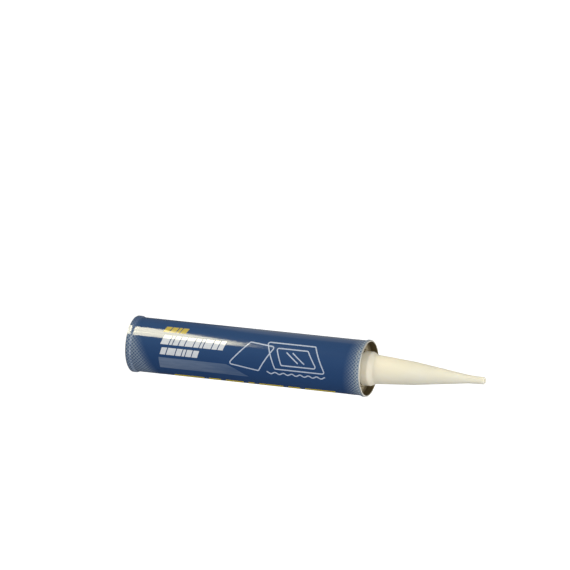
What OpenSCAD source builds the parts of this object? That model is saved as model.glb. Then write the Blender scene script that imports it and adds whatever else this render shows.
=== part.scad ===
// Sealant cartridge with a screw-on nozzle, standing on its rear rim.
// Z runs along the axis towards the nozzle, and the origin is the centre of the rear rim.
// Label angles are counted from the side that faces -Y, anticlockwise seen from the nozzle.

/* [Can] */
// Height of the can, from the rear rim to the top of the front seam
can_len = 218; // [205:1:235]
// Outside diameter of the barrel's metal
barrel_d = 47.4; // [45:0.2:50]
// Thickness of the barrel's sheet
barrel_t = 0.3; // [0.25:0.01:0.34]

/* [Rear hem] */
// Height of the outward fold round the open rear end
hem_h = 3.6; // [2.6:0.1:4.6]
// How far the hem stands out from the barrel
hem_out = 1; // [0.9:0.05:1.4]
// Bend radius of the hem, at the middle of the sheet
hem_bend = 0.3; // [0.2:0.02:0.36]

/* [Front end] */
// Thickness of the pressed front end's sheet
end_t = 0.25; // [0.2:0.01:0.3]
// Height of the double seam
seam_h = 3; // [2.6:0.1:3.6]
// Play between the folded layers of the seam
seam_play = 0.03; // [0.02:0.005:0.05]
// Depth of the panel below the seam's top
recess_depth = 5.7; // [4.8:0.1:6.2]
// How far the countersink groove lies below the panel
groove_depth = 0.9; // [0.6:0.1:1.4]
// Width of the countersink groove, between the middles of its walls
groove_w = 1.6; // [1.2:0.1:2.4]
// Height of the raised boss round the neck
boss_h = 1.2; // [0.9:0.1:1.8]
// How far the boss runs out past the nozzle's collar
boss_margin = 0.9; // [0.4:0.1:1.4]
// Bend radius of the panel's folds, at the middle of the sheet
panel_bend = 0.5; // [0.3:0.05:0.6]

/* [Neck] */
// Crest diameter of the neck's thread
neck_d = 18.6; // [16:0.2:20]
// Height of the neck above the boss
neck_h = 13; // [11:0.5:15]
// Bend radius at the neck's root and top, at the middle of the sheet
neck_bend = 0.8; // [0.4:0.1:1]

/* [Nozzle] */
// Length of the nozzle
nozzle_len = 109.6; // [98:0.2:125]
// Diameter of the grip collar
collar_d = 29.6; // [28.2:0.1:30.6]
// Height of the collar's straight wall
collar_h = 7.4; // [6:0.1:9]
// Rounding of the collar's upper edge
collar_round = 3; // [1:0.2:5]
// Rounding of the collar's lower edge
collar_foot_round = 0.9; // [0.4:0.1:1.2]
// Length of the slope from the collar in to the cone
collar_slope = 4.6; // [3:0.1:6]
// Diameter of the cone where it leaves the collar's slope
cone_d = 25.2; // [24.2:0.1:26.2]
// Height where the cone starts to taper faster
shoulder_z = 46; // [40:1:52]
// Diameter of the cone at that height
shoulder_d = 20; // [19:0.1:21]
// Length of the slender tip
tip_len = 13.6; // [10:0.2:18]
// Diameter of the slender tip at its foot
tip_foot_d = 7; // [6.6:0.1:8.4]
// Diameter of the tip's end
tip_d = 6.2; // [5.6:0.1:6.6]
// Wall of the cone where it starts to taper faster
nozzle_wall = 1.8; // [1.6:0.1:2.2]
// Wall of the slender tip at its foot
tip_wall = 1.5; // [1.2:0.1:1.6]
// Diameter of the outlet bore
outlet_d = 3.8; // [3:0.1:4.2]
// Length of the straight outlet bore
outlet_len = 6; // [4:0.5:8]
// Play between the neck's thread and the nozzle's socket, on the radius
thread_play = 0.1; // [0.06:0.01:0.2]
// Room above the neck inside the nozzle
neck_room = 0.4; // [0.2:0.1:0.8]
// Step in from the nozzle's socket to its channel, on the radius
throat_step = 1; // [0.8:0.1:1.6]
// Lead-in chamfer at the mouth of the nozzle's socket
socket_chamfer = 0.6; // [0.3:0.1:0.9]

/* [Piston] */
// Height of the piston
piston_h = 20; // [16:0.5:24]
// How far the piston's skirt lies inside the rear rim
piston_inset = 10; // [6:0.5:14]
// Play between the piston's lips and the barrel, on the radius
piston_play = 0.08; // [0.04:0.01:0.1]
// Height of each sealing lip
lip_h = 3.2; // [2.4:0.1:4.2]
// How far the lips stand out from the skirt between them
lip_out = 0.9; // [0.5:0.1:1.2]
// Thickness of the piston's skirt
skirt_t = 1.5; // [1.2:0.1:2.2]
// Thickness of the piston's web
web_t = 1.8; // [1.4:0.1:2.6]
// Number of ribs under the web
rib_count = 8; // [6:1:12]
// Thickness of a rib
rib_t = 1.2; // [0.8:0.1:1.8]
// Height of a rib
rib_h = 4; // [2:0.5:6]
// Diameter of the hub where the ribs meet
hub_d = 9; // [7:0.5:14]

/* [Label] */
// Thickness of the label film
label_t = 0.12; // [0.08:0.01:0.2]
// Length of the label's slope from the barrel up to the hem or the seam
label_slope = 1.6; // [1:0.1:2.4]
// Bend radius of the label's slopes, at the middle of the film
label_bend = 1.2; // [0.6:0.1:1.6]
// Bare metal left between the label's edge and the rounding of either rim
label_edge = 0.1; // [0.05:0.05:0.4]
// Width of the label's overlap
label_lap = 6.5; // [4:0.5:12]
// Label angle where the overlap starts
lap_at = 127; // [120:1:134]

/* [Print] */
// Thickness of the printed fields
print_t = 0.08; // [0.06:0.01:0.12]
// Height above the rear rim where the printed words' bars start
print_from = 32.5; // [28:0.5:40]
// Length of the long bar row
long_row = 61; // [50:0.5:62]
// Length of the short bar row
short_row = 37; // [24:0.5:44]
// Length of the yellow mark
mark_len = 23; // [16:0.5:28]
// Length of the grey panel along its long edge
panel_len = 82; // [70:0.5:90]
// Height above the rear rim where the line drawing starts
drawing_from = 96; // [95:0.5:100]
// Width of the line drawing, straight across
drawing_w = 29; // [24:0.5:32]
// Width of a drawn line
line_w = 1; // [0.6:0.1:1.3]
// Bend radius of the drawn lines, at the middle of the line
line_bend = 1.5; // [0.8:0.1:2.4]
// Bend radius of the drawn wave, at the middle of the line
wave_bend = 2.6; // [1.6:0.1:3]
// Height above the rear rim where the yellow band starts
band_from = 36; // [32:1:42]
// Width of the yellow band, straight across
band_w = 20.5; // [16:0.5:23]
// Gap between the blocks of the yellow band
band_gap = 4.5; // [2:0.5:6]
// Width of the long bar row
long_row_w = 8.4; // [6:0.1:9]
// Width of the short bar row
short_row_w = 6.2; // [5:0.1:8]
// Width of the yellow mark
mark_w = 6.2; // [4:0.1:6.6]
// Width of the grey panel
panel_w = 10.6; // [8:0.1:12]
// Gap between the bars of a row
bar_gap = 0.9; // [0.5:0.1:1.4]
// Height above the rear rim where the small print starts
notes_z = 32.5; // [30:0.5:36]
// Pitch of the small print's pieces along the can
notes_pitch = 31.5; // [28:0.5:33]
// Length of the longest piece of small print
notes_len = 27; // [20:0.5:27]
// How much shorter the next piece of small print is
notes_trim = 2; // [1:0.1:2.4]
// Height of a line of small print
notes_line = 0.65; // [0.5:0.05:1]
// How far the grey panel starts behind the bars
panel_lead = 1; // [0:0.2:2]
// Room between the long prints and the edge of the front hatched field
print_room = 10.8; // [8:0.2:14]
// Width of the hatched field at the rear end
rear_hatch = 12; // [6:0.5:13]
// Width of the hatched field at the front end
front_hatch = 10; // [6:0.5:13]

/* [Sealant] */
// Play drawn round the sealant where it fills the can
fill_play = 0.1; // [0.05:0.01:0.2]

/* [Hidden] */
$fn = 96;

// Barrel and hem
barrel_r = barrel_d / 2;
bore_r = barrel_r - barrel_t;
wall_mid = barrel_r - barrel_t / 2;
hem_mid = barrel_r + hem_out - barrel_t / 2;
hem_lip_gap = 0.1;

// Double seam, from the barrel's wall outwards: end hook, barrel hook, seam wall
end_hook_mid = barrel_r + seam_play + end_t / 2;
barrel_hook_mid = end_hook_mid + end_t / 2 + seam_play + barrel_t / 2;
seam_wall_mid = barrel_hook_mid + barrel_t / 2 + seam_play + end_t / 2;
seam_r = seam_wall_mid + end_t / 2;
chuck_mid = bore_r - seam_play - end_t / 2;
rim_mid_z = can_len - end_t / 2;
barrel_top_z = can_len - end_t - seam_play - barrel_t / 2;
seam_foot_z = can_len - seam_h + end_t / 2;
barrel_hook_bend = (barrel_hook_mid - wall_mid) / 2;
end_hook_bend = (seam_wall_mid - end_hook_mid) / 2;
seam_top_bend = barrel_hook_bend + barrel_t / 2 + seam_play + end_t / 2;
hook_tip_gap = 0.3;
barrel_hook_tip_z = seam_foot_z + end_hook_bend + hook_tip_gap / 2;
end_hook_tip_z = barrel_top_z - barrel_hook_bend - hook_tip_gap / 2;

// Panel, boss and neck
panel_z = can_len - recess_depth;
boss_z = panel_z + boss_h;
neck_top_z = boss_z + neck_h;
neck_r = neck_d / 2;
neck_mid = neck_r - end_t / 2;
collar_r = collar_d / 2;
boss_r = collar_r + boss_margin;
boss_slope = boss_h / 2;
groove_mid_z = panel_z - groove_depth - end_t / 2;
groove_in = chuck_mid - groove_w;
groove_bend = min(groove_w / 2, groove_depth / 2);

// Path of the front end along the middle of its sheet, from the neck to the end hook, and its bends
end_path = [[0, neck_top_z - end_t / 2], [neck_mid, neck_top_z - end_t / 2],
            [neck_mid, boss_z - end_t / 2], [boss_r, boss_z - end_t / 2],
            [boss_r + boss_slope, panel_z - end_t / 2], [groove_in, panel_z - end_t / 2],
            [groove_in, groove_mid_z], [chuck_mid, groove_mid_z], [chuck_mid, rim_mid_z],
            [seam_wall_mid, rim_mid_z], [seam_wall_mid, seam_foot_z],
            [end_hook_mid, seam_foot_z], [end_hook_mid, end_hook_tip_z]];
end_bends = [neck_bend, neck_bend, panel_bend, panel_bend, groove_bend, groove_bend, groove_w / 2,
             seam_top_bend, seam_top_bend, end_hook_bend, end_hook_bend];

// Nozzle, from its own foot, which stands on the boss
socket_r = neck_r + thread_play;
socket_depth = neck_h + neck_room;
throat_r = socket_r - throat_step;
throat_z = socket_depth + throat_step;
cone_foot_round = 4;
shoulder_round = 60;
tip_foot_round = 40;
tip_round = 0.3;
tip_foot_z = nozzle_len - tip_len;
channel_tip_r = max(outlet_d / 2, tip_foot_d / 2 - tip_wall);

// Piston
lip_r = bore_r - piston_play;
skirt_r = lip_r - lip_out;
skirt_in = skirt_r - skirt_t;
piston_front_z = piston_inset + piston_h;
lip_chamfer = 0.6;
hub_wall = 1.4;
rib_bite = 0.4;

// Label and print
label_foot_z = hem_bend + barrel_t / 2 + label_edge;
label_top_z = can_len - seam_top_bend - end_t / 2 - label_edge;
label_z0 = hem_h + label_slope + label_bend / 2;
label_z1 = can_len - seam_h - label_slope - label_bend / 2;
film_mid = barrel_r + label_t / 2;
hem_film_mid = barrel_r + hem_out + label_t / 2;
seam_film_mid = seam_r + label_t / 2;
print_r = barrel_r + label_t;
lap_deg = label_lap / print_r * 180 / PI;
notes_deg = notes_line / print_r * 180 / PI;
print_to = label_z1 - front_hatch - print_room;
drawing_len = print_to - drawing_from;
band_len = print_to - band_from;
mark_at = -41;
long_row_at = -16;
short_row_at = 8;
panel_at = 35;
band_at = 97;
notes_at = 148;
notes_turn = 7;
notes_rows = 8;
notes_parts = floor((print_to - notes_z) / notes_pitch);
notes_lengths = 4;
slant = 0.3;
wave_steps = 14;
rear_hatch_tilt = 26;
front_hatch_tilt = -5;
hatch_seam_gap = 1.5;

function unit(v) = v / norm(v);
function left(v) = [-v[1], v[0]];
function cross2(u, v) = u[0] * v[1] - u[1] * v[0];
function reversed(list) = [for (i = [len(list) - 1:-1:0]) list[i]];
function opened(list) = [for (i = [0:len(list) - 2]) list[i]];

// Points of one rounded corner p between the points before and after it, moved d to the left of the path
function corner(before, p, after, r, d, steps) =
    let (u = unit(p - before), v = unit(after - p), s = sign(cross2(u, v)),
         back = r * abs(cross2(u, v)) / (1 + u * v), c = p - u * back + left(u) * s * r,
         turn = acos(max(-1, min(1, u * v))), n = r == 0 ? 0 : steps)
    n == 0 ? [p + (left(u) + left(v)) * d / (1 + u * v)]
           : [for (i = [0:n])
                 let (a = s * turn * i / n, w = -left(u) * s)
                 c + (r - s * d) * [w[0] * cos(a) - w[1] * sin(a), w[0] * sin(a) + w[1] * cos(a)]];

// A path with its corners rounded to radii, moved d to the left
function rounded(path, radii, d = 0, steps = 6) =
    let (last = len(path) - 1)
    concat([path[0] + left(unit(path[1] - path[0])) * d],
           [for (i = [1:last - 1]) each corner(path[i - 1], path[i], path[i + 1], radii[i - 1], d, steps)],
           [path[last] + left(unit(path[last] - path[last - 1])) * d]);

// A ring of folded sheet whose section follows a path along the middle of the sheet
module folded_ring(path, radii, t)
    rotate_extrude()
        polygon(concat(rounded(path, radii, t / 2), reversed(rounded(path, radii, -t / 2))));

module barrel()
    color("#8f8569")
        folded_ring(
            [[barrel_r + hem_lip_gap, hem_h - barrel_t / 2], [hem_mid, hem_h - barrel_t / 2],
             [hem_mid, barrel_t / 2], [wall_mid, barrel_t / 2], [wall_mid, barrel_top_z],
             [barrel_hook_mid, barrel_top_z], [barrel_hook_mid, barrel_hook_tip_z]],
            [hem_bend, hem_bend, hem_bend, barrel_hook_bend, barrel_hook_bend], barrel_t);

module front_end()
    color("#7a6f56")
        folded_ring(end_path, end_bends, end_t);

// The label is a sleeve of film, shrunk over the hem and the seam, with an overlap along the barrel
module label()
    color("#2b4580") {
        folded_ring(
            [[hem_film_mid, label_foot_z], [hem_film_mid, hem_h], [film_mid, hem_h + label_slope],
             [film_mid, can_len - seam_h - label_slope], [seam_film_mid, can_len - seam_h],
             [seam_film_mid, label_top_z]],
            [label_bend, label_bend, label_bend, label_bend], label_t);
        rotate([0, 0, lap_at - 90])
            rotate_extrude(angle = lap_deg)
                translate([film_mid, label_z0])
                    square([label_t * 1.5, label_z1 - label_z0]);
    }

// The nozzle is one moulding: collar, cone, slender tip, threaded socket, tapered channel and outlet
module nozzle()
    color("#efe7d3")
        translate([0, 0, boss_z])
            rotate_extrude()
                polygon(rounded(
                    [[socket_r, socket_chamfer], [socket_r + socket_chamfer, 0], [collar_r, 0],
                     [collar_r, collar_h], [cone_d / 2, collar_h + collar_slope],
                     [shoulder_d / 2, shoulder_z], [tip_foot_d / 2, tip_foot_z], [tip_d / 2, nozzle_len],
                     [outlet_d / 2, nozzle_len], [outlet_d / 2, nozzle_len - outlet_len],
                     [channel_tip_r, tip_foot_z], [shoulder_d / 2 - nozzle_wall, shoulder_z],
                     [throat_r, throat_z], [socket_r, socket_depth]],
                    [0, collar_foot_round, collar_round, cone_foot_round, shoulder_round, tip_foot_round,
                     tip_round, 0, 0, 0, 0, 0]));

module piston()
    color("#e6e2d6")
        translate([0, 0, piston_inset]) {
            rotate_extrude()
                polygon([[0, piston_h - web_t], [skirt_in, piston_h - web_t], [skirt_in, 0],
                         [lip_r - lip_chamfer, 0], [lip_r, lip_chamfer], [lip_r, lip_h],
                         [skirt_r, lip_h + lip_out], [skirt_r, piston_h - lip_h - lip_out],
                         [lip_r, piston_h - lip_h], [lip_r, piston_h - lip_chamfer],
                         [lip_r - lip_chamfer, piston_h], [0, piston_h]]);
            difference() {
                translate([0, 0, piston_h - web_t - rib_h])
                    cylinder(d = hub_d, h = rib_h + rib_bite);
                translate([0, 0, piston_h - web_t - rib_h - 1])
                    cylinder(d = hub_d - 2 * hub_wall, h = rib_h + 1);
            }
            for (i = [0:rib_count - 1])
                rotate([0, 0, i * 360 / rib_count])
                    translate([hub_d / 2 - rib_bite, -rib_t / 2, piston_h - web_t - rib_h])
                        cube([skirt_in + rib_bite * 2 - hub_d / 2, rib_t, rib_h + rib_bite]);
        }

// The fill reaches from the piston's face into the neck, and follows the underside of the pressed front end
module sealant() {
    fill_r = bore_r - fill_play;
    below = end_t / 2 + fill_play;
    neck_to_groove = concat([for (i = [0:6]) end_path[i]], [[chuck_mid - groove_w / 2, groove_mid_z]]);
    bends = [for (i = [0:5]) end_bends[i]];
    color("#3a3a3c")
        rotate_extrude()
            polygon(concat([[0, piston_front_z + fill_play], [fill_r, piston_front_z + fill_play],
                            [fill_r, groove_mid_z - below]],
                           reversed(rounded(neck_to_groove, bends, -below))));
}

// A thin skin of print lying on the label's straight part
module print_skin()
    rotate_extrude()
        translate([print_r, label_z0])
            square([print_t, label_z1 - label_z0]);

// A hatched field, cut off by a tilted plane at the height of its edge on the axis; it stops at the overlap
module hatch_field(z0, z1, edge_z, tilt, keep_above)
    difference() {
        rotate([0, 0, lap_at + lap_deg + hatch_seam_gap - 90])
            rotate_extrude(angle = 360 - lap_deg - 2 * hatch_seam_gap)
                translate([print_r, z0])
                    square([print_t, z1 - z0]);
        translate([0, 0, edge_z])
            rotate([0, -tilt, 0])
                translate([-can_len, -can_len, keep_above ? -can_len : 0])
                    cube([2 * can_len, 2 * can_len, can_len]);
    }

// Prints a flat outline on the side at a label angle; its X runs round the can and its Y along it
module stamp(angle)
    intersection() {
        print_skin();
        rotate([0, 0, angle - 90])
            rotate([90, 0, 90])
                linear_extrude(print_r + 1)
                    children();
    }

// A row of slanted blocks that fills a length, each as wide as its share
module bar_row(z0, length, w, shares, gap) {
    total = shares * [for (s = shares) 1];
    room = length - gap * (len(shares) - 1) - slant * w;
    for (i = [0:len(shares) - 1]) {
        before = i == 0 ? 0 : [for (j = [0:i - 1]) shares[j]] * [for (j = [0:i - 1]) 1];
        z = z0 + before / total * room + i * gap;
        h = shares[i] / total * room;
        polygon([[w / 2, z], [w / 2, z + h], [-w / 2, z + h + slant * w], [-w / 2, z + slant * w]]);
    }
}

// One drawn line through points, with rounded bends
module drawn_line(points, bend) {
    bends = [for (i = [2:len(points) - 1]) bend];
    polygon(concat(rounded(points, bends, line_w / 2), reversed(rounded(points, bends, -line_w / 2))));
}

// One drawn line that closes on itself; its corners run clockwise
module drawn_loop(corners) {
    start = (corners[0] + corners[len(corners) - 1]) / 2;
    loop = concat([start], corners, [start]);
    bends = [for (c = corners) line_bend];
    difference() {
        polygon(opened(rounded(loop, bends, line_w / 2)));
        polygon(opened(rounded(loop, bends, -line_w / 2)));
    }
}

module print_hatch()
    color("#4a5f92") {
        hatch_field(label_z0, print_from, label_z0 + rear_hatch, rear_hatch_tilt, false);
        hatch_field(label_z1 - 2 * front_hatch, label_z1, label_z1 - front_hatch, front_hatch_tilt, true);
    }

module print_white()
    color("#e9eaee") {
        stamp(long_row_at)
            bar_row(print_from, long_row, long_row_w, [3, 1, 2, 2, 3, 2, 1, 3, 2, 2], bar_gap);
        stamp(short_row_at)
            bar_row(print_from, short_row, short_row_w, [2, 3, 2, 1, 2, 2], bar_gap);
        for (row = [0:notes_rows - 1])
            rotate([0, 0, notes_at + row * notes_turn - 90])
                for (part = [0:notes_parts - 1])
                    rotate_extrude(angle = notes_deg)
                        translate([print_r, notes_z + part * notes_pitch])
                            square([print_t, notes_len - (row + 3 * part) % notes_lengths * notes_trim]);
    }

module print_yellow()
    color("#f2d21c") {
        stamp(mark_at)
            bar_row(print_from, mark_len, mark_w, [2, 2, 1, 2], bar_gap);
        stamp(band_at)
            bar_row(band_from, band_len, band_w, [5, 2, 3, 1, 4, 2, 5], band_gap);
    }

module print_grey()
    color("#707c9a")
        stamp(panel_at)
            polygon([[-panel_w / 2, print_from - panel_lead], [panel_w / 2, print_from - panel_lead],
                     [panel_w / 2, print_from + panel_len], [-panel_w / 6, print_from + panel_len * 0.86],
                     [-panel_w / 2, print_from + panel_len * 0.76]]);

// Two overlapping window panes and a wavy bead beside them
module print_silver() {
    w = drawing_w / 2;
    l = drawing_len;
    color("#b6bfd4")
        stamp(0)
            translate([0, drawing_from]) {
                drawn_loop([[0.55 * w, 0.01 * l], [-0.85 * w, 0.2 * l], [-0.7 * w, 0.44 * l],
                            [0.8 * w, 0.3 * l]]);
                drawn_loop([[0.6 * w, 0.46 * l], [-0.95 * w, 0.36 * l], [-0.95 * w, 0.82 * l],
                            [0.6 * w, 0.94 * l]]);
                drawn_loop([[0.35 * w, 0.52 * l], [-0.65 * w, 0.46 * l], [-0.65 * w, 0.76 * l],
                            [0.35 * w, 0.86 * l]]);
                drawn_line([[-0.45 * w, 0.56 * l], [0.15 * w, 0.68 * l]], 0);
                drawn_line([[-0.45 * w, 0.62 * l], [0.15 * w, 0.74 * l]], 0);
                drawn_line([for (i = [0:wave_steps])
                    [(i % 2 == 0 ? 0.78 : 0.92) * w, (0.38 + 0.56 * i / wave_steps) * l]], wave_bend);
            }
}

barrel();
front_end();
label();
print_hatch();
print_grey();
print_silver();
print_white();
print_yellow();
nozzle();
piston();
sealant();
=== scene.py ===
"""A sealant cartridge with its nozzle screwed on, dressed for a studio picture."""

import math

import bmesh
import bpy
from mathutils import Matrix, Vector


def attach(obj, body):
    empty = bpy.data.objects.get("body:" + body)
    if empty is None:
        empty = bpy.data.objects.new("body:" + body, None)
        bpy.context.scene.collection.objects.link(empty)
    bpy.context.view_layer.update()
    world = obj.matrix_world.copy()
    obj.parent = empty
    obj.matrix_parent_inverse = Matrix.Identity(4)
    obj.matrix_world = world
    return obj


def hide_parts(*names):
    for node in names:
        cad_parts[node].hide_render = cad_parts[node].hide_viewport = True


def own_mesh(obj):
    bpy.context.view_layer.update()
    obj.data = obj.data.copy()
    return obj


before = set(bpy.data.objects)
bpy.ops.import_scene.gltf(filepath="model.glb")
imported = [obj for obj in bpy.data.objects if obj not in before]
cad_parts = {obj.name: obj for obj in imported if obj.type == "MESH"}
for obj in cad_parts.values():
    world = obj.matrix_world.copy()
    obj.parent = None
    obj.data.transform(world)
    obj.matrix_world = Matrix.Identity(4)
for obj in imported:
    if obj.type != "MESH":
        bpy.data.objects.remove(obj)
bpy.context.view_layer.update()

MM = 0.001
MATH = "ShaderNodeMath"
MIX = "ShaderNodeMix"

# A mix node has sockets of the same names for numbers and colours, so they are told apart by their places
FACTOR = 0
NUMBER_A = 2
NUMBER_B = 3
COLOUR_A = 6
COLOUR_B = 7

# The camera stands where the photographer stood: it looks down along the can and is rolled onto its side
VIEW_ELEVATION = 20.83
VIEW_ROLL = 5.74
VIEW_DISTANCE = 3930 * MM
VIEW_AIM_Z = 160 * MM
VIEW_AIM_LEFT = 18.37 * MM
VIEW_AIM_UP = 66.3 * MM
LENS = 287.5
SENSOR = 36

# Sizes of the can, as in the part's source; all sizes of the part are in millimetres, and angles in degrees
CAN_LEN = 218
BARREL_R = 23.7
BARREL_T = 0.3
HEM_H = 3.6
HEM_OUT = 1
HEM_BEND = 0.3
HEM_LIP_GAP = 0.1
END_T = 0.25
SEAM_H = 3
SEAM_PLAY = 0.03
HOOK_TIP_GAP = 0.3
RECESS_DEPTH = 5.7
GROOVE_DEPTH = 0.9
GROOVE_W = 1.6
BOSS_H = 1.2
BOSS_MARGIN = 0.9
PANEL_BEND = 0.5
NECK_R = 9.3
NECK_H = 13
NECK_BEND = 0.8
FILL_PLAY = 0.1
WELD_AT = 210
WELD_HALF_WIDTH = 3
WELD_H = 0.06

# Sizes of the label and its print; it laps over itself at an angle from the middle of its front
LABEL_T = 0.12
LABEL_SLOPE = 1.6
LABEL_BEND = 1.2
LABEL_EDGE = 0.1
LABEL_LAP = 6.5
LAP_AT = 127
PUCKERS = 47
PUCKER_H = 0.06
PUCKER_REACH = 1.5
REAR_HATCH = 17.8
REAR_HATCH_TILT = 26
FRONT_HATCH = 202.8
FRONT_HATCH_TILT = -5
PRINT_FROM = 32.5
PANEL_LEN = 82

# Sizes of the nozzle and its thread
NOZZLE_LEN = 109.6
COLLAR_R = 14.8
COLLAR_H = 7.4
COLLAR_ROUND = 3
COLLAR_FOOT_ROUND = 0.9
COLLAR_SLOPE = 4.6
CONE_R = 12.6
CONE_FOOT_ROUND = 4
SHOULDER_Z = 46
SHOULDER_R = 10
SHOULDER_ROUND = 60
TIP_LEN = 13.6
TIP_FOOT_R = 3.5
TIP_FOOT_ROUND = 40
TIP_R = 3.1
TIP_ROUND = 0.3
NOZZLE_WALL = 1.8
TIP_WALL = 1.5
OUTLET_R = 1.9
OUTLET_LEN = 6
THREAD_PLAY = 0.1
NECK_ROOM = 0.4
THROAT_STEP = 1
SOCKET_CHAMFER = 0.6
THREAD_PITCH = 3
THREAD_DEPTH = 0.45
THREAD_START = 1.2
THREAD_RUN = 0.8
SOCKET_THREAD_END = 0.6
PARTING_H = 0.05

# Sizes of the piston
PISTON_H = 20
PISTON_INSET = 10
PISTON_PLAY = 0.08
LIP_H = 3.2
LIP_OUT = 0.9
LIP_CHAMFER = 0.6
LIP_ROUND = 0.4
SKIRT_T = 1.5
WEB_T = 1.8
RIB_COUNT = 8
RIB_T = 1.2
RIB_H = 4
RIB_BITE = 0.4
HUB_R = 4.5
HUB_WALL = 1.4
WEB_ROUND = 0.6
MOULD_ROUND = 0.3
RIB_ROUND = 0.25

# How many flat sides a round piece has
ROUND_STEPS = 240
FILM_STEPS = 480
PISTON_STEPS = 192
FILL_STEPS = 120

# The longest side that a section keeps, on stretches that are shaped further and on plain ones
END_SIDE = 0.6
BARREL_SIDE = 12
SLOPE_SIDE = 0.5
SOCKET_SIDE = 0.5
FILL_NECK_SIDE = 0.6
PLAIN_SIDE = 4

# Radii that differ by less than this are the same, and a face with less area, in square metres, is none
NEAR = 0.01
NO_AREA = 1e-14

# The studio, in metres: the streak lamps, and a floor whose paint and glow add up to white
STREAK_TOP = 0.102
STREAK_LAMP_H = 0.13
STREAK_DISTANCE = 0.8
STREAK_RADIANCE = 18
FLOOR_R = 14
FLOOR_PAINT = 0.5
FLOOR_GLOW = 0.72

# What follows from them
BORE_R = BARREL_R - BARREL_T
PANEL_Z = CAN_LEN - RECESS_DEPTH
BOSS_Z = PANEL_Z + BOSS_H
NECK_TOP_Z = BOSS_Z + NECK_H
SOCKET_R = NECK_R + THREAD_PLAY
SOCKET_H = NECK_H + NECK_ROOM
THROAT_R = SOCKET_R - THROAT_STEP
THROAT_Z = SOCKET_H + THROAT_STEP
TIP_FOOT_Z = NOZZLE_LEN - TIP_LEN
CHANNEL_SHOULDER_R = SHOULDER_R - NOZZLE_WALL
CHANNEL_TIP_R = max(OUTLET_R, TIP_FOOT_R - TIP_WALL)
END_HOOK = BARREL_R + SEAM_PLAY + END_T / 2
BARREL_HOOK = END_HOOK + END_T / 2 + SEAM_PLAY + BARREL_T / 2
SEAM_WALL = BARREL_HOOK + BARREL_T / 2 + SEAM_PLAY + END_T / 2
SEAM_R = SEAM_WALL + END_T / 2
CHUCK = BORE_R - SEAM_PLAY - END_T / 2
BARREL_HOOK_BEND = (BARREL_HOOK - BARREL_R + BARREL_T / 2) / 2
END_HOOK_BEND = (SEAM_WALL - END_HOOK) / 2
SEAM_TOP_BEND = BARREL_HOOK_BEND + BARREL_T / 2 + SEAM_PLAY + END_T / 2
BARREL_TOP_Z = CAN_LEN - END_T - SEAM_PLAY - BARREL_T / 2
SEAM_FOOT_Z = CAN_LEN - SEAM_H + END_T / 2
GROOVE_Z = PANEL_Z - GROOVE_DEPTH - END_T / 2
GROOVE_BEND = min(GROOVE_W, GROOVE_DEPTH) / 2
PRINT_R = BARREL_R + LABEL_T
LABEL_FOOT_Z = HEM_BEND + BARREL_T / 2 + LABEL_EDGE
LABEL_TOP_Z = CAN_LEN - SEAM_TOP_BEND - END_T / 2 - LABEL_EDGE
LIP_R = BORE_R - PISTON_PLAY
SKIRT_R = LIP_R - LIP_OUT
SKIRT_IN = SKIRT_R - SKIRT_T


def linear(hex_colour):
    """A written sRGB colour as the linear one a shader takes."""
    channels = [int(hex_colour[i:i + 2], 16) / 255 for i in (1, 3, 5)]
    return tuple(c / 12.92 if c <= 0.04045 else ((c + 0.055) / 1.055) ** 2.4 for c in channels) + (1.0,)


def add(tree, kind, inputs=None, **settings):
    """Adds a node, sets it, and fills its inputs, given by name or place, with values, sockets or nodes."""
    node = tree.nodes.new(kind)
    for name, value in settings.items():
        setattr(node, name, value)
    for name, value in (inputs or {}).items():
        if isinstance(value, bpy.types.Node):
            value = next(socket for socket in value.outputs if socket.enabled)
        if isinstance(value, bpy.types.NodeSocket):
            tree.links.new(value, node.inputs[name])
        else:
            node.inputs[name].default_value = value
    return node


def new_material(name):
    """An empty material and its tree."""
    material = bpy.data.materials.new(name)
    material.use_nodes = True
    material.node_tree.nodes.clear()
    return material, material.node_tree


def finish_surface(tree, values):
    """Ends a material in a Principled shader."""
    add(tree, "ShaderNodeOutputMaterial", {"Surface": add(tree, "ShaderNodeBsdfPrincipled", values)})


def place_on_can(tree):
    """Where a point lies: x and height in millimetres, and the way round the label in millimetres."""
    where = add(tree, "ShaderNodeTexCoord").outputs["Object"]
    xyz = add(tree, "ShaderNodeSeparateXYZ", {0: where})
    back = add(tree, MATH, {0: xyz.outputs["Y"], 1: -1}, operation="MULTIPLY")
    angle = add(tree, MATH, {0: xyz.outputs["X"], 1: back}, operation="ARCTAN2")
    return {
        "where": where,
        "x": add(tree, MATH, {0: xyz.outputs["X"], 1: MM}, operation="DIVIDE"),
        "up": add(tree, MATH, {0: xyz.outputs["Z"], 1: MM}, operation="DIVIDE"),
        "round": add(tree, MATH, {0: angle, 1: PRINT_R}, operation="MULTIPLY"),
    }


def stretched_noise(tree, where, across_mm, along_mm, detail=3, seed=0.0):
    """Noise with one grain size across the axis and another along it; each seed reads another part of it."""
    scale = (1 / (across_mm * MM), 1 / (across_mm * MM), 1 / (along_mm * MM))
    place = (seed, seed * 1.7, seed * 0.6)
    moved = add(tree, "ShaderNodeMapping", {"Vector": where, "Scale": scale, "Location": place})
    return add(tree, "ShaderNodeTexNoise", {"Vector": moved, "Scale": 1.0, "Detail": detail})


NAVY = linear("#2a4872")
NAVY_DEEP = linear("#243f69")


def navy_ground(tree, spot):
    """The label's blue, with the slight unevenness of a printed solid."""
    cloud = stretched_noise(tree, spot["where"], across_mm=26, along_mm=90, detail=2, seed=1.3)
    return add(tree, MIX, {FACTOR: cloud, COLOUR_A: NAVY_DEEP, COLOUR_B: NAVY}, data_type="RGBA")


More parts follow.
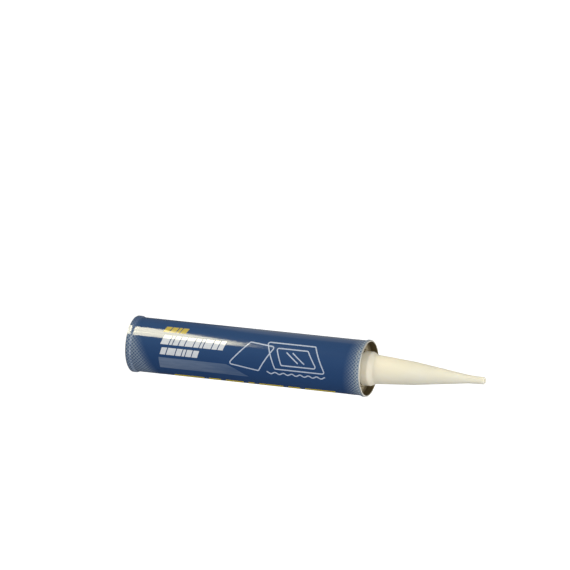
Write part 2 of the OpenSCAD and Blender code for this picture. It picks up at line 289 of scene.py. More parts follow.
def printed_film(name, colour_of):
    """Reverse-printed shrink film: a clear skin over the ink, so lamps draw crisp streaks on every colour."""
    grain_share, relief = 0.1, 0.025 * MM
    material, tree = new_material(name)
    spot = place_on_can(tree)
    ripples = stretched_noise(tree, spot["where"], across_mm=9, along_mm=60, detail=2)
    grain = stretched_noise(tree, spot["where"], across_mm=0.8, along_mm=0.8, detail=2, seed=3.1)
    height = add(tree, MATH, {0: grain, 1: grain_share, 2: ripples}, operation="MULTIPLY_ADD")
    finish_surface(tree, {
        "Base Color": colour_of(tree, spot),
        "Roughness": 0.1,
        "IOR": 1.5,
        "Normal": add(tree, "ShaderNodeBump", {"Height": height, "Strength": 1.0, "Distance": relief}),
    })
    return material


def hatch_lines(tree, spot):
    """Crossed silver lines that get thinner away from the rims; drawn as coarse as the photo shows them."""
    pitch, fade = 3.2, 15
    # Where the hatch is faintest and where it is full: half a line's width in pitches, and the line's opacity
    faint_width, full_width = 0.03, 0.29
    faint_ink, full_ink = 0.12, 0.92
    # How steeply a line's edges rise, and how much silver lies between the lines where the hatch is full
    sharpness, haze = 5, 0.2
    # The hatch at each rim: height and tilt of its inner edge, the way it grows, and how full it gets
    rims = ((REAR_HATCH, REAR_HATCH_TILT, -1, 0.65), (FRONT_HATCH, FRONT_HATCH_TILT, 1, 1))
    grades = []
    for height, tilt, way, most in rims:
        slope = math.tan(math.radians(tilt))
        edge = add(tree, MATH, {0: spot["x"], 1: slope, 2: height}, operation="MULTIPLY_ADD")
        past = add(tree, MATH, {0: spot["up"], 1: edge}, operation="SUBTRACT")
        grown = add(tree, MATH, {0: past, 1: way / fade}, operation="MULTIPLY")
        grades.append(add(tree, MATH, {0: grown, 1: most}, operation="MINIMUM"))
    grade = add(tree, MATH, {0: grades[0], 1: grades[1]}, operation="MAXIMUM", use_clamp=True)
    widths = {0: grade, 1: faint_width - full_width, 2: 0.5 - faint_width}
    line_from = add(tree, MATH, widths, operation="MULTIPLY_ADD")
    masks = []
    # A wave runs from 0 midway between two lines to 0.5 on a line, so a line starts where it passes line_from
    for turn in (1, -1):
        slant = add(tree, MATH, {0: spot["round"], 1: turn, 2: spot["up"]}, operation="MULTIPLY_ADD")
        rows = add(tree, MATH, {0: slant, 1: pitch}, operation="DIVIDE")
        wave = add(tree, MATH, {0: rows, 1: 0.5}, operation="PINGPONG")
        inside = add(tree, MATH, {0: wave, 1: line_from}, operation="SUBTRACT")
        masks.append(add(tree, MATH, {0: inside, 1: sharpness}, operation="MULTIPLY", use_clamp=True))
    lines = add(tree, MATH, {0: masks[0], 1: masks[1]}, operation="MAXIMUM")
    inks = {0: grade, 1: full_ink - faint_ink, 2: faint_ink}
    opacity = add(tree, MATH, inks, operation="MULTIPLY_ADD", use_clamp=True)
    drawn = add(tree, MATH, {0: lines, 1: opacity}, operation="MULTIPLY")
    share = add(tree, MATH, {0: grade, 1: haze, 2: drawn}, operation="MULTIPLY_ADD", use_clamp=True)
    colours = {FACTOR: share, COLOUR_A: navy_ground(tree, spot), COLOUR_B: linear("#a3b0ba")}
    return add(tree, MIX, colours, data_type="RGBA")


def grey_wash(tree, spot):
    """A streaky grey field that fades into the blue towards its front end."""
    even_part, streaky_part = 0.5, 0.7
    along = add(tree, MATH, {0: spot["up"], 1: PRINT_FROM}, operation="SUBTRACT")
    fade = add(tree, MATH, {0: along, 1: -even_part / PANEL_LEN, 2: even_part}, operation="MULTIPLY_ADD")
    streaks = stretched_noise(tree, spot["where"], across_mm=2.2, along_mm=18, detail=3, seed=5.2)
    share = add(tree, MATH, {0: streaks, 1: streaky_part, 2: fade}, operation="MULTIPLY_ADD", use_clamp=True)
    return add(tree, MIX, {FACTOR: share, COLOUR_A: NAVY, COLOUR_B: linear("#6b7b94")}, data_type="RGBA")


def solid_ink(dark, light):
    """One ink colour, slightly uneven where the blue shows through."""
    def colour_of(tree, spot):
        patches = stretched_noise(tree, spot["where"], across_mm=1.1, along_mm=1.6, detail=2, seed=2.4)
        shades = {FACTOR: patches, COLOUR_A: linear(dark), COLOUR_B: linear(light)}
        return add(tree, MIX, shades, data_type="RGBA")
    return colour_of


def yellow_ink(tree, spot):
    """Full yellow on the large blocks; the small mark beside the rows is screened, so the blue dulls it."""
    solid = solid_ink("#cfb52a", "#e2ca38")(tree, spot)
    mark_to, blocks_from, blue_share = -4, 4, 0.34
    screened = add(tree, "ShaderNodeMapRange", {
        "Value": spot["x"], "From Min": mark_to, "From Max": blocks_from, "To Min": blue_share, "To Max": 0.0,
    })
    return add(tree, MIX, {FACTOR: screened, COLOUR_A: solid, COLOUR_B: NAVY}, data_type="RGBA")


def rolled_tinplate(name, dark, light, roughness, painted_highlight=None, painted_highlight_from=0.0):
    """Rolled tinplate: a tinted metal sheen with fine rolling lines, and a painted highlight beyond a radius
    in mm.
    """
    unevenness, relief = 0.16, 0.01 * MM
    # The painted highlight takes over within this many millimetres
    painted_highlight_within = 1 / 3
    material, tree = new_material(name)
    where = place_on_can(tree)["where"]
    lines = stretched_noise(tree, where, across_mm=0.35, along_mm=14, detail=2)
    clouds = stretched_noise(tree, where, across_mm=9, along_mm=14, detail=3, seed=4.4)
    shades = {FACTOR: clouds, COLOUR_A: linear(dark), COLOUR_B: linear(light)}
    sheen = add(tree, MIX, shades, data_type="RGBA")
    if painted_highlight:
        # Painted highlight: the colour turns bright beyond the given radius
        flat = add(tree, "ShaderNodeVectorMath", {0: where, 1: (1 / MM, 1 / MM, 0)}, operation="MULTIPLY")
        radius = add(tree, "ShaderNodeVectorMath", {0: flat}, operation="LENGTH").outputs["Value"]
        into_painted_highlight = add(tree, MATH, {0: radius, 1: painted_highlight_from}, operation="SUBTRACT")
        share = add(tree, MATH, {0: into_painted_highlight, 1: painted_highlight_within}, operation="DIVIDE", use_clamp=True)
        sheen = add(tree, MIX, {FACTOR: share, COLOUR_A: sheen, COLOUR_B: linear(painted_highlight)}, data_type="RGBA")
    rough = {0: clouds, 1: unevenness, 2: roughness - unevenness / 2}
    finish_surface(tree, {
        "Base Color": sheen,
        "Metallic": 1.0,
        "Roughness": add(tree, MATH, rough, operation="MULTIPLY_ADD"),
        "Normal": add(tree, "ShaderNodeBump", {"Height": lines, "Strength": 0.6, "Distance": relief}),
    })
    return material


def moulded_polyethylene(name, dark, light, roughness):
    """Natural polyethylene from a spark-eroded mould: waxy, a little see-through, softly lit from inside."""
    relief, light_path = 0.012 * MM, 4 * MM
    material, tree = new_material(name)
    where = place_on_can(tree)["where"]
    clouds = stretched_noise(tree, where, across_mm=7, along_mm=22, detail=3, seed=6.6)
    skin = stretched_noise(tree, where, across_mm=0.45, along_mm=0.45, detail=2, seed=8.8)
    shades = {FACTOR: clouds, COLOUR_A: linear(dark), COLOUR_B: linear(light)}
    finish_surface(tree, {
        "Base Color": add(tree, MIX, shades, data_type="RGBA"),
        "Roughness": roughness,
        "IOR": 1.51,
        "Subsurface Weight": 0.6,
        "Subsurface Radius": (1.0, 0.9, 0.7),
        "Subsurface Scale": light_path,
        "Normal": add(tree, "ShaderNodeBump", {"Height": skin, "Strength": 0.5, "Distance": relief}),
    })
    return material


def urethane_paste(name):
    """Uncured urethane sealant: black, wet looking, with soft lumps where it was filled."""
    relief = 0.4 * MM
    material, tree = new_material(name)
    lumps = stretched_noise(tree, place_on_can(tree)["where"], across_mm=4, along_mm=4)
    shades = {FACTOR: lumps, COLOUR_A: linear("#1b1b1d"), COLOUR_B: linear("#2a2a2d")}
    finish_surface(tree, {
        "Base Color": add(tree, MIX, shades, data_type="RGBA"),
        "Roughness": 0.22,
        "Normal": add(tree, "ShaderNodeBump", {"Height": lumps, "Strength": 0.8, "Distance": relief}),
    })
    return material


def path_corner(before, at, after, radius, shift, steps):
    """Points of one rounded corner of a path, moved to the path's left."""
    u = (at - before).normalized()
    v = (after - at).normalized()
    side = u.cross(v)
    if radius == 0:
        return [at + (Vector((-u.y, u.x)) + Vector((-v.y, v.x))) * shift / (1 + u.dot(v))]
    turn = math.copysign(math.acos(max(-1.0, min(1.0, u.dot(v)))), side)
    way = math.copysign(1, side)
    inward = Vector((-u.y, u.x)) * way
    centre = at - u * radius * abs(side) / (1 + u.dot(v)) + inward * radius
    reach = radius - way * shift
    return [centre + Matrix.Rotation(turn * i / steps, 2) @ (-inward) * reach for i in range(steps + 1)]


def rounded(path, radii, shift=0.0, steps=8):
    """A path with rounded corners, moved to its left."""
    points = [Vector(p) for p in path]
    start = (points[1] - points[0]).normalized()
    end = (points[-1] - points[-2]).normalized()
    out = [points[0] + Vector((-start.y, start.x)) * shift]
    for i, radius in enumerate(radii, 1):
        out += path_corner(points[i - 1], points[i], points[i + 1], radius, shift, steps)
    return out + [points[-1] + Vector((-end.y, end.x)) * shift]


def folded_sheet(path, radii, thickness):
    """The closed section of a sheet that follows a path along its middle."""
    return rounded(path, radii, thickness / 2) + rounded(path, radii, -thickness / 2)[::-1]


def divided(section, longest):
    """The section with its long sides cut into shorter ones; longest(a, b) is the length allowed there."""
    out = []
    for a, b in zip(section, section[1:] + section[:1]):
        pieces = max(1, math.ceil((b - a).length / longest(a, b)))
        out += [a.lerp(b, i / pieces) for i in range(pieces)]
    return out


def geometry_tree(name, inputs):
    """A geometry tree with named inputs of given kinds, and one piece as its output."""
    tree = bpy.data.node_groups.new(name, "GeometryNodeTree")
    for label, kind in inputs.items():
        tree.interface.new_socket(label, in_out="INPUT", socket_type="NodeSocket" + kind)
    tree.interface.new_socket("Piece", in_out="OUTPUT", socket_type="NodeSocketGeometry")
    return tree, add(tree, "NodeGroupInput").outputs


def end_in_piece(tree, shape, finish):
    """Ends a geometry tree: its shape is made real and gets its finish."""
    real = add(tree, "GeometryNodeRealizeInstances", {"Geometry": shape})
    dressed = add(tree, "GeometryNodeSetMaterial", {"Geometry": real, "Material": finish})
    add(tree, "NodeGroupOutput", {"Piece": dressed})


def lathe_tree():
    """Geometry nodes that sweep a section once round Z and close it where it meets the axis."""
    tree, given = geometry_tree("Lathe", {
        "Section": "Geometry", "Segments": "Int", "Spindle radius": "Float", "Finish": "Material",
    })
    ring = add(tree, "GeometryNodeCurvePrimitiveCircle",
               {"Resolution": given["Segments"], "Radius": given["Spindle radius"]})
    upright = add(tree, "GeometryNodeSetCurveNormal", {"Curve": ring}, mode="Z_UP")
    swept = add(tree, "GeometryNodeCurveToMesh", {"Curve": upright, "Profile Curve": given["Section"]})
    closed = add(tree, "GeometryNodeMergeByDistance", {"Geometry": swept, "Distance": 0.0001 * MM})
    end_in_piece(tree, closed, given["Finish"])
    return tree


def ribs_tree():
    """Geometry nodes that set equal ribs round a hub."""
    tree, given = geometry_tree("Ribs round a hub", {
        "Base": "Geometry", "Count": "Int", "Length": "Float", "Thickness": "Float", "Height": "Float",
        "Start radius": "Float", "Top": "Float", "Finish": "Material",
    })
    size = add(tree, "ShaderNodeCombineXYZ", {0: given["Length"], 1: given["Thickness"], 2: given["Height"]})
    bar = add(tree, "GeometryNodeMeshCube", {"Size": size})
    middle = add(tree, MATH, {0: given["Length"], 1: 0.5, 2: given["Start radius"]}, operation="MULTIPLY_ADD")
    centre = add(tree, MATH, {0: given["Height"], 1: -0.5, 2: given["Top"]}, operation="MULTIPLY_ADD")
    seat = add(tree, "ShaderNodeCombineXYZ", {0: middle, 2: centre})
    rib = add(tree, "GeometryNodeTransform", {"Geometry": bar, "Translation": seat})
    line = add(tree, "GeometryNodeMeshLine", {"Count": given["Count"], "Offset": (0, 0, 0)})
    step = add(tree, MATH, {0: math.tau, 1: given["Count"]}, operation="DIVIDE")
    turn = add(tree, MATH, {0: add(tree, "GeometryNodeInputIndex"), 1: step}, operation="MULTIPLY")
    facing = add(tree, "ShaderNodeCombineXYZ", {2: turn})
    placed = add(tree, "GeometryNodeInstanceOnPoints", {"Points": line, "Instance": rib, "Rotation": facing})
    end_in_piece(tree, placed, given["Finish"])
    return tree


def made_by(tree, base, values):
    """The plain mesh that a tree makes of a base object; values are its inputs by name."""
    modifier = base.modifiers.new(tree.name, "NODES")
    modifier.node_group = tree
    for socket in tree.interface.items_tree:
        if socket.in_out == "INPUT" and socket.name in values:
            modifier[socket.identifier] = values[socket.name]
    bpy.context.scene.collection.objects.link(base)
    mesh = bpy.data.meshes.new_from_object(base.evaluated_get(bpy.context.evaluated_depsgraph_get()))
    bpy.data.objects.remove(base)
    return mesh


def as_piece(name, mesh, data=None, sharp_over=35):
    """A bmesh as an object, smooth but for its sharp edges; data, the mesh it came from, has its material."""
    bmesh.ops.recalc_face_normals(mesh, faces=mesh.faces)
    for face in mesh.faces:
        face.smooth = True
    for edge in mesh.edges:
        edge.smooth = len(edge.link_faces) == 2 and edge.calc_face_angle(0) < math.radians(sharp_over)
    data = data or bpy.data.meshes.new(name)
    mesh.to_mesh(data)
    mesh.free()
    data.name = name
    piece = bpy.data.objects.new(name, data)
    bpy.context.scene.collection.objects.link(piece)
    return piece


# The lathe carries a section round a circle of this radius, in millimetres, and the section starts inside it
SPINDLE_R = 1.0
LATHE = lathe_tree()
RIBS = ribs_tree()


def turned(name, section, finish, steps=ROUND_STEPS, shape=None):
    """A closed section in millimetres turned round Z; shape(r, z, angle) may change the radius."""
    curve = bpy.data.curves.new(name, "CURVE")
    curve.dimensions = "2D"
    curve.fill_mode = "NONE"
    spline = curve.splines.new("POLY")
    spline.points.add(len(section) - 1)
    for point, p in zip(spline.points, section):
        point.co = ((p.x - SPINDLE_R) * MM, -p.y * MM, 0, 1)
    spline.use_cyclic_u = True
    sizes = {"Segments": steps, "Spindle radius": SPINDLE_R * MM, "Finish": finish}
    data = made_by(LATHE, bpy.data.objects.new(name, curve), sizes)
    mesh = bmesh.new()
    mesh.from_mesh(data)
    for vert in mesh.verts if shape else ():
        r = math.hypot(vert.co.x, vert.co.y) / MM
        if r > NEAR:
            share = shape(r, vert.co.z / MM, math.atan2(vert.co.y, vert.co.x)) / r
            vert.co.x *= share
            vert.co.y *= share
    # A side of the section that lies on the axis sweeps faces without area
    collapsed = [face for face in mesh.faces if face.calc_area() < NO_AREA]
    bmesh.ops.delete(mesh, geom=collapsed, context="FACES_ONLY")
    return as_piece(name, mesh, data)


def belongs(piece, body, slot, *replaced):
    """Says which body a piece rides on and the solids it stands for; slot, its material slot, is not used."""
    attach(piece, body)
    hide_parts(*replaced)


def label_angle(angle):
    """The label angle, from 0 to 360, of an angle counted from +X."""
    return (math.degrees(angle) + 90) % 360


def thread_wave(z, angle, phase):
    """How far a point lies up the flank of the thread, from 0 at the root to 1 on the crest."""
    root_share, flank_share = 0.4, 0.3
    turns = z / THREAD_PITCH - angle / math.tau + phase
    wave = 1 - 2 * abs(turns - math.floor(turns) - 0.5)
    return max(0.0, min(1.0, (wave - root_share) / flank_share))


def between(z, table):
    """The value at a height, straight between the rows (height, value) of a table."""
    if z <= table[0][0]:
        return table[0][1]
    for (z0, a), (z1, b) in zip(table, table[1:]):
        if z <= z1:
            return a + (b - a) * (z - z0) / (z1 - z0)
    return table[-1][1]


def eased(z, low, high, run):
    """1 between two heights, falling to 0 over a run at each end."""
    return max(0.0, min(1.0, (z - low) / run, (high - z) / run))


END_PATH = [
    (0, NECK_TOP_Z - END_T / 2), (NECK_R - END_T / 2, NECK_TOP_Z - END_T / 2),
    (NECK_R - END_T / 2, BOSS_Z - END_T / 2), (COLLAR_R + BOSS_MARGIN, BOSS_Z - END_T / 2),
    (COLLAR_R + BOSS_MARGIN + BOSS_H / 2, PANEL_Z - END_T / 2), (CHUCK - GROOVE_W, PANEL_Z - END_T / 2),
    (CHUCK - GROOVE_W, GROOVE_Z), (CHUCK, GROOVE_Z), (CHUCK, CAN_LEN - END_T / 2),
    (SEAM_WALL, CAN_LEN - END_T / 2), (SEAM_WALL, SEAM_FOOT_Z), (END_HOOK, SEAM_FOOT_Z),
    (END_HOOK, BARREL_TOP_Z - BARREL_HOOK_BEND - HOOK_TIP_GAP / 2),
]
END_BENDS = [NECK_BEND, NECK_BEND, PANEL_BEND, PANEL_BEND, GROOVE_BEND, GROOVE_BEND, GROOVE_W / 2,
             SEAM_TOP_BEND, SEAM_TOP_BEND, END_HOOK_BEND, END_HOOK_BEND]


def threaded_neck(r, z, angle):
    """Presses the neck's sheet and the paste behind it in between the turns of the rolled thread."""
    low, high = BOSS_Z + THREAD_START, NECK_TOP_Z - THREAD_START
    on_wall = NECK_R - END_T - FILL_PLAY - NEAR < r < NECK_R + NEAR
    if not (on_wall and low < z < high):
        return r
    return r - THREAD_DEPTH * (1 - thread_wave(z, angle, 0)) * eased(z, low, high, THREAD_RUN)


def pressed_front_end():
    """The front end as it is pressed: seam, chuck wall, countersink, panel, boss and threaded neck."""
    section = divided(folded_sheet(END_PATH, END_BENDS, END_T), lambda a, b: END_SIDE)
    # A thin bright ring of painted highlight on the seam, beyond the bore's radius
    finish = rolled_tinplate("Gold lacquer on the front end", "#877c61", "#a09375", 0.4, "#d6d4cb", BORE_R)
    piece = turned("pressed_front_end", section, finish, shape=threaded_neck)
    belongs(piece, "cartridge", "front_end_metal", "front_end")


def rolled_barrel():
    """The barrel as it is rolled, hemmed and welded: the weld stands a little proud inside."""
    hem = BARREL_R + HEM_OUT - BARREL_T / 2
    wall = BARREL_R - BARREL_T / 2
    path = [
        (BARREL_R + HEM_LIP_GAP, HEM_H - BARREL_T / 2), (hem, HEM_H - BARREL_T / 2), (hem, BARREL_T / 2),
        (wall, BARREL_T / 2), (wall, BARREL_TOP_Z), (BARREL_HOOK, BARREL_TOP_Z),
        (BARREL_HOOK, SEAM_FOOT_Z + END_HOOK_BEND + HOOK_TIP_GAP / 2),
    ]
    bends = [HEM_BEND, HEM_BEND, HEM_BEND, BARREL_HOOK_BEND, BARREL_HOOK_BEND]
    section = divided(folded_sheet(path, bends, BARREL_T), lambda a, b: BARREL_SIDE)
    weld_from, weld_to = 1, PANEL_Z - 3

    def welded(r, z, angle):
        off = abs((label_angle(angle) - WELD_AT + 180) % 360 - 180)
        inside = r < BORE_R + NEAR and weld_from < z < weld_to
        return r - WELD_H * max(0.0, 1 - off / WELD_HALF_WIDTH) if inside else r

    finish = rolled_tinplate("Bare tinplate of the barrel", "#aaa598", "#c6c2b6", 0.3)
    piece = turned("rolled_barrel", section, finish, shape=welded)
    belongs(piece, "cartridge", "barrel_metal", "barrel")


def shrunk_sleeve():
    """The film as it is shrunk on: it hugs hem and seam, puckers there, and overlaps down the back."""
    hem, film, seam = BARREL_R + HEM_OUT + LABEL_T / 2, BARREL_R + LABEL_T / 2, SEAM_R + LABEL_T / 2
    rear_slope_z, front_slope_z = HEM_H + LABEL_SLOPE, CAN_LEN - SEAM_H - LABEL_SLOPE
    path = [
        (hem, LABEL_FOOT_Z), (hem, HEM_H), (film, rear_slope_z),
        (film, front_slope_z), (seam, CAN_LEN - SEAM_H), (seam, LABEL_TOP_Z),
    ]
    section = divided(folded_sheet(path, [LABEL_BEND] * 4, LABEL_T),
                      lambda a, b: SLOPE_SIDE if abs(a.x - b.x) > NEAR else PLAIN_SIDE)
    lap_deg = math.degrees(LABEL_LAP / PRINT_R)

    def shrunk(r, z, angle):
        lap = LABEL_T if LAP_AT <= label_angle(angle) <= LAP_AT + lap_deg else 0
        off = min(abs(z - rear_slope_z), abs(z - front_slope_z))
        # The inner sine crowds the puckers in three places, so that they don't look even
        wave = 0.5 + 0.5 * math.sin(PUCKERS * angle + 2.1 * math.sin(3 * angle))
        return r + lap + PUCKER_H * wave * max(0.0, 1 - off / PUCKER_REACH)

    finish = printed_film("Blue shrink film", hatch_lines)
    piece = turned("shrunk_sleeve", section, finish, FILM_STEPS, shrunk)
    belongs(piece, "cartridge", "label_film", "label")


def moulded_nozzle():
    """The nozzle as it is moulded: collar, cone, slender tip, parting lines, socket thread and channel."""
    path = [
        (SOCKET_R, SOCKET_CHAMFER), (SOCKET_R + SOCKET_CHAMFER, 0), (COLLAR_R, 0), (COLLAR_R, COLLAR_H),
        (CONE_R, COLLAR_H + COLLAR_SLOPE), (SHOULDER_R, SHOULDER_Z), (TIP_FOOT_R, TIP_FOOT_Z),
        (TIP_R, NOZZLE_LEN), (OUTLET_R, NOZZLE_LEN),
        (OUTLET_R, NOZZLE_LEN - OUTLET_LEN), (CHANNEL_TIP_R, TIP_FOOT_Z),
        (CHANNEL_SHOULDER_R, SHOULDER_Z), (THROAT_R, THROAT_Z), (SOCKET_R, SOCKET_H),
    ]
    radii = [0, COLLAR_FOOT_ROUND, COLLAR_ROUND, CONE_FOOT_ROUND, SHOULDER_ROUND, TIP_FOOT_ROUND, TIP_ROUND,
             0, 0, 0, 0, 0]

    def longest(a, b):
        in_socket = max(a.x, b.x) < SOCKET_R + NEAR and max(a.y, b.y) < NECK_TOP_Z + THROAT_STEP
        return SOCKET_SIDE if in_socket else PLAIN_SIDE

    section = divided([p + Vector((0, BOSS_Z)) for p in rounded(path, radii)], longest)
    low, high = BOSS_Z + THREAD_START, NECK_TOP_Z - SOCKET_THREAD_END
    channel = [(SOCKET_H, SOCKET_R), (THROAT_Z, THROAT_R), (SHOULDER_Z, CHANNEL_SHOULDER_R),
               (TIP_FOOT_Z, CHANNEL_TIP_R), (NOZZLE_LEN - OUTLET_LEN, OUTLET_R)]
    ridge_h = THREAD_DEPTH - THREAD_PLAY

    def moulded(r, z, angle):
        up = z - BOSS_Z
        if abs(r - SOCKET_R) < NEAR and low < z < high:
            return r - ridge_h * thread_wave(z, angle, 0.5) * eased(z, low, high, THREAD_RUN)
        outside = r > between(up, channel) + TIP_WALL / 2 and COLLAR_FOOT_ROUND < up < NOZZLE_LEN - TIP_ROUND
        # The halves of the mould met at +X and -X, where one line of points each stands proud
        at_parting = abs(math.sin(angle)) < math.sin(math.pi / ROUND_STEPS)
        return r + PARTING_H if outside and at_parting else r

    finish = moulded_polyethylene("Polyethylene of the nozzle", "#e9e1cb", "#f2ecda", 0.36)
    piece = turned("moulded_nozzle", section, finish, shape=moulded)
    belongs(piece, "nozzle", "nozzle_plastic", "nozzle")


def moulded_piston():
    """The piston as it is moulded: a cup with two sealing lips, and ribs from its hub to its skirt."""
    web_z = PISTON_H - WEB_T
    rib_foot_z = web_z - RIB_H
    edge, lip = MOULD_ROUND, LIP_ROUND
    path = [
        (0, web_z), (HUB_R - HUB_WALL, web_z), (HUB_R - HUB_WALL, rib_foot_z), (HUB_R, rib_foot_z),
        (HUB_R, web_z), (SKIRT_IN, web_z), (SKIRT_IN, 0), (LIP_R - LIP_CHAMFER, 0), (LIP_R, LIP_CHAMFER),
        (LIP_R, LIP_H), (SKIRT_R, LIP_H + LIP_OUT), (SKIRT_R, PISTON_H - LIP_H - LIP_OUT),
        (LIP_R, PISTON_H - LIP_H), (LIP_R, PISTON_H - LIP_CHAMFER), (LIP_R - LIP_CHAMFER, PISTON_H),
        (0, PISTON_H),
    ]
    radii = [edge, edge, edge, edge, WEB_ROUND, edge, edge, edge, lip, edge, edge, lip, edge, edge]
    section = [p + Vector((0, PISTON_INSET)) for p in rounded(path, radii, steps=4)]
    finish = moulded_polyethylene("Polyethylene of the piston", "#dedacf", "#ece9df", 0.38)
    cup = turned("piston_cup", section, finish, PISTON_STEPS)
    belongs(cup, "piston", "piston_plastic", "piston")
    sizes = {
        "Count": RIB_COUNT, "Length": (SKIRT_IN - HUB_R + 2 * RIB_BITE) * MM, "Thickness": RIB_T * MM,
        "Height": (RIB_H + RIB_BITE) * MM, "Start radius": (HUB_R - RIB_BITE) * MM,
        "Top": (PISTON_INSET + web_z + RIB_BITE) * MM, "Finish": finish,
    }
    data = made_by(RIBS, bpy.data.objects.new("piston_ribs", bpy.data.meshes.new("piston_ribs")), sizes)
    mesh = bmesh.new()
    mesh.from_mesh(data)
    ribs = as_piece("piston_ribs", mesh, data)
    bevel = ribs.modifiers.new("Mould radius", "BEVEL")
    bevel.width = RIB_ROUND * MM
    bevel.segments = 3
    belongs(ribs, "piston", "piston_plastic", "piston")


def filled_sealant():
    """The paste as it is filled: it takes the shape of the front end and ends at the piston's face."""
    below = END_T / 2 + FILL_PLAY
    face_z = PISTON_INSET + PISTON_H + FILL_PLAY
    side = BORE_R - FILL_PLAY
    underside = rounded(END_PATH[:7] + [(CHUCK - GROOVE_W / 2, GROOVE_Z)], END_BENDS[:6], -below, 4)
    top_z = GROOVE_Z - below
    outline = [Vector((0, face_z)), Vector((side, face_z)), Vector((side, top_z))] + underside[::-1]

    def longest(a, b):
        in_neck = max(a.x, b.x) < NECK_R < 2 * min(a.x, b.x)
        return FILL_NECK_SIDE if in_neck else CAN_LEN

    section = divided(outline, longest)
    finish = urethane_paste("Black urethane paste")
    piece = turned("filled_sealant", section, finish, FILL_STEPS, threaded_neck)
    belongs(piece, "cartridge", "sealant_paste", "sealant")
    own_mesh(piece)


def print_the_label():
    """The print keeps the solids' shapes and gets the gloss of the film over it."""
    inks = {
        "print_hatch": printed_film("Silver hatch under film", hatch_lines),
        "print_grey": printed_film("Grey wash under film", grey_wash),
        "print_silver": printed_film("Silver line ink under film", solid_ink("#a2aec4", "#bcc6d8")),
        "print_white": printed_film("White ink under film", solid_ink("#bcc2cc", "#d4d8df")),
        "print_yellow": printed_film("Yellow ink under film", yellow_ink),
    }
    for node, ink in inks.items():
        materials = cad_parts[node].data.materials
        materials.clear()
        materials.append(ink)


rolled_barrel()
pressed_front_end()
shrunk_sleeve()
print_the_label()
moulded_nozzle()
moulded_piston()
filled_sealant()


def studio_floor():
    """A white floor that stays white to the camera, takes the can's shadow, and is see-through from below."""
    mesh = bmesh.new()
    bmesh.ops.create_circle(mesh, cap_ends=True, segments=64, radius=FLOOR_R)
    piece = as_piece("studio_floor", mesh)
    material, tree = new_material("White studio floor")
    ray = add(tree, "ShaderNodeLightPath").outputs
    paint = add(tree, "ShaderNodeBsdfDiffuse", {"Color": (FLOOR_PAINT, FLOOR_PAINT, FLOOR_PAINT, 1)})
    seen = add(tree, MATH, {0: ray["Is Camera Ray"], 1: ray["Is Transmission Ray"]}, operation="MAXIMUM")
    lift = add(tree, MATH, {0: seen, 1: FLOOR_GLOW}, operation="MULTIPLY")
    glow = add(tree, "ShaderNodeEmission", {"Color": (1, 1, 1, 1), "Strength": lift})
    top = add(tree, "ShaderNodeAddShader", {0: paint, 1: glow})
    under = add(tree, "ShaderNodeNewGeometry").outputs["Backfacing"]
    both = add(tree, "ShaderNodeMixShader", {0: under, 1: top, 2: add(tree, "ShaderNodeBsdfTransparent")})
    add(tree, "ShaderNodeOutputMaterial", {"Surface": both})
    piece.data.materials.append(material)
    # The streak lamp stands lower than the floor, so the floor lets its light and its mirror image through
    piece.visible_glossy = False
    piece.visible_shadow = False


def softbox(name, aim_z, turn, elevation, distance, size, radiance, colour=(1, 1, 1), roll=0.0):
    """A rectangular lamp that faces a point on the axis; turn is the label angle that it shines from."""
    lamp = bpy.data.lights.new(name, "AREA")
    lamp.shape = "RECTANGLE"
    lamp.size, lamp.size_y = size
    lamp.energy = radiance * math.pi * size[0] * size[1]
    lamp.color = colour
    side, rise = math.radians(turn), math.radians(elevation)
    away = Vector((math.sin(side) * math.cos(rise), -math.cos(side) * math.cos(rise), math.sin(rise)))
    facing = (-away).to_track_quat("-Z", "Y").to_matrix().to_4x4()
    place = Matrix.Translation(Vector((0, 0, aim_z)) + away * distance)
    piece = bpy.data.objects.new(name, lamp)
    piece.matrix_world = place @ facing @ Matrix.Rotation(math.radians(roll), 4, "Z")
    bpy.context.scene.collection.objects.link(piece)


def streak_lamps():
    """Two strip lamps whose mirror images join into the cream streak on the film, with a slanted end."""
    # A mirror image on an upright can comes from as far below the level as the camera stands above it
    level = math.cos(math.radians(VIEW_ELEVATION))
    # Each lamp draws the streak between two label angles, and its top may fall towards the left
    for name, right, left, left_top in (("Streak lamp", -18.4, -26, STREAK_TOP),
                                        ("Streak end lamp", -26, -38, 0)):
        width = 2 * STREAK_DISTANCE * level * math.tan(math.radians(right - left))
        roll = math.atan2((STREAK_TOP - left_top) * level, width)
        size = (width / math.cos(roll), STREAK_LAMP_H)
        middle = (STREAK_TOP + left_top) / 2 - STREAK_LAMP_H / 2 / math.cos(roll)
        softbox(name, middle, right + left, -VIEW_ELEVATION, STREAK_DISTANCE, size, STREAK_RADIANCE,
                colour=(1.0, 0.92, 0.66), roll=math.degrees(roll))


def soft_lamps():
    """The wide lamps, each with aim height, label angle, elevation, distance, size and radiance."""
    softbox("Side lamp", 0.22, -135, -VIEW_ELEVATION, 1.5, (1.3, 0.3), 0.3, colour=(1.0, 0.98, 0.86))
    softbox("Key lamp", 0.18, -20, 46, 1.9, (1.3, 1.3), 2.4)
    softbox("Fill lamp", 0.2, 36, 42, 2.1, (1.2, 1.2), 2.4)
    softbox("Back lamp", 0.2, 165, 40, 2.1, (1.2, 1.2), 1.6)
    softbox("Underside lamp", 0, 0, -88, 1.2, (0.7, 0.7), 1.6)


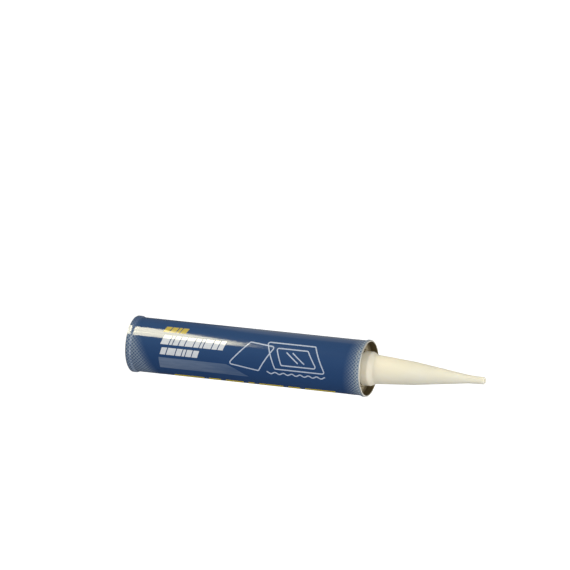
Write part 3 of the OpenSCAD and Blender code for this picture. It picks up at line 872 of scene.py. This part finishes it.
def pale_room():
    """A room that is pale above, dark below the level and darkest on the right, and white to the camera."""
    above, below_left, below_right, under = 0.56, 0.12, 0.03, 0.5
    world = bpy.data.worlds.new("Pale room")
    world.use_nodes = True
    bpy.context.scene.world = world
    tree = world.node_tree
    tree.nodes.clear()
    way = add(tree, "ShaderNodeSeparateXYZ", {0: add(tree, "ShaderNodeTexCoord").outputs["Generated"]})
    below = add(tree, "ShaderNodeMapRange", {
        "Value": way.outputs["X"], "From Min": -0.2, "From Max": 0.7,
        "To Min": below_left, "To Max": below_right,
    })
    walls = add(tree, "ShaderNodeMapRange", {
        "Value": way.outputs["Z"], "From Min": -0.25, "From Max": 0.3, "To Min": below, "To Max": above,
    })
    # What faces down mirrors this pale ground in place of the floor, which lets mirror images through
    ground = add(tree, "ShaderNodeMapRange", {
        "Value": way.outputs["Z"], "From Min": -0.8, "From Max": -0.45, "To Min": under, "To Max": 0.0,
    })
    lit = add(tree, MATH, {0: walls, 1: ground}, operation="MAXIMUM")
    camera = add(tree, "ShaderNodeLightPath").outputs["Is Camera Ray"]
    shown = add(tree, MIX, {FACTOR: camera, NUMBER_A: lit, NUMBER_B: 1.0}, data_type="FLOAT")
    room = add(tree, "ShaderNodeBackground", {"Color": (1, 1, 1, 1), "Strength": shown})
    add(tree, "ShaderNodeOutputWorld", {"Surface": room})


def photo_camera():
    """The camera, rolled so that the standing can lies in the picture as in the photo."""
    elevation, roll = math.radians(VIEW_ELEVATION), math.radians(VIEW_ROLL)
    back = Vector((0, -math.cos(elevation), math.sin(elevation)))
    along = Vector((0, math.sin(elevation), math.cos(elevation)))
    across = Vector((-1, 0, 0))
    right = along * math.cos(roll) + across * math.sin(roll)
    up = across * math.cos(roll) - along * math.sin(roll)
    aim = Vector((0, 0, VIEW_AIM_Z)) - right * VIEW_AIM_LEFT + up * VIEW_AIM_UP
    data = bpy.data.cameras.new("Photo camera")
    data.lens = LENS
    data.sensor_width = SENSOR
    data.clip_start, data.clip_end = 0.1, 60
    camera = bpy.data.objects.new("Photo camera", data)
    turn = Matrix((right, up, back)).transposed().to_4x4()
    camera.matrix_world = Matrix.Translation(aim + back * VIEW_DISTANCE) @ turn
    bpy.context.scene.collection.objects.link(camera)
    bpy.context.scene.camera = camera


studio_floor()
streak_lamps()
soft_lamps()
pale_room()
photo_camera()
bpy.context.scene.view_settings.view_transform = "Standard"
